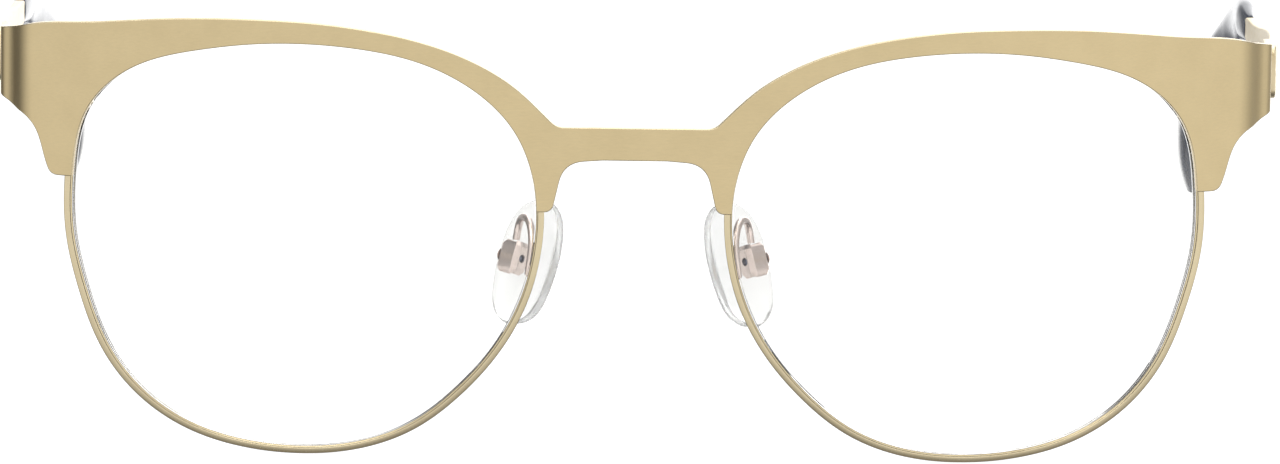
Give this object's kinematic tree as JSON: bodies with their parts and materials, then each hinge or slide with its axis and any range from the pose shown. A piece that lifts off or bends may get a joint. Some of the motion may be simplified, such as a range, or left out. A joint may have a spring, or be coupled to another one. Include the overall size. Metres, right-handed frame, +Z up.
{
  "type": "eyeglasses frame",
  "caption": "Brushed metal eyeglasses frame: bent browline sheet over full eyewires with clear lenses, adjustable nose pads and folding temples with dark ear tips.",
  "frame": {"origin": "on the table under the middle of the open frame's bounding box", "axes": "+X towards the wearer's left across the front, +Y from the front back along the open temples, +Z up"},
  "size_m": [0.1458, 0.1454, 0.0493],
  "materials": {
    "satin_gold": "brushed satin, pale gold plating",
    "bright_gold": "polished pale gold plating",
    "rose_silver": "semi-bright nickel silver",
    "dark_steel": "darkened screw steel",
    "clear_lens": "clear plain lens",
    "clear_silicone": "clear soft silicone",
    "clear_plastic": "clear hard plastic",
    "dark_acetate": "glossy dark slate"
  },
  "bodies": {
    "front": {"brow_plate": "satin_gold", "eyewire_left": "bright_gold", "lens_left": "clear_lens", "closing_block_upper_left": "bright_gold", "closing_block_lower_left": "bright_gold", "rim_screw_left": "dark_steel", "pad_box_left": "rose_silver", "pad_screw_left": "dark_steel", "pad_arm_left": "rose_silver", "front_hinge_left": "satin_gold", "hinge_screw_left": "dark_steel", "eyewire_right": "bright_gold", "lens_right": "clear_lens", "closing_block_upper_right": "bright_gold", "closing_block_lower_right": "bright_gold", "rim_screw_right": "dark_steel", "pad_box_right": "rose_silver", "pad_screw_right": "dark_steel", "pad_arm_right": "rose_silver", "front_hinge_right": "satin_gold", "hinge_screw_right": "dark_steel"},
    "temple_left": {"temple_hinge_left": "satin_gold", "temple_bar_left": "satin_gold", "temple_tip_left": "dark_acetate"},
    "pad_left": {"nose_pad_left": "clear_silicone", "pad_insert_left": "clear_plastic"},
    "temple_right": {"temple_hinge_right": "satin_gold", "temple_bar_right": "satin_gold", "temple_tip_right": "dark_acetate"},
    "pad_right": {"nose_pad_right": "clear_silicone", "pad_insert_right": "clear_plastic"}
  },
  "joints": [
    {"name": "temple_fold_left", "type": "hinge", "parent": "front", "child": "temple_left", "pos_m": [0.06695, -0.05912, 0.0425], "axis": [0, 0.1461, 0.9893], "range_deg": [0, 88]},
    {"name": "pad_rock_left", "type": "hinge", "parent": "front", "child": "pad_left", "pos_m": [0.01329, -0.0653, 0.02207], "axis": [0.766, 0.6428, 0], "range_deg": [-8, 8]},
    {"name": "temple_fold_right", "type": "hinge", "parent": "front", "child": "temple_right", "pos_m": [-0.06695, -0.05912, 0.0425], "axis": [0, -0.1461, -0.9893], "range_deg": [0, 82]},
    {"name": "pad_rock_right", "type": "hinge", "parent": "front", "child": "pad_right", "pos_m": [-0.01329, -0.0653, 0.02207], "axis": [-0.766, 0.6428, 0], "range_deg": [-8, 8]}
  ]
}
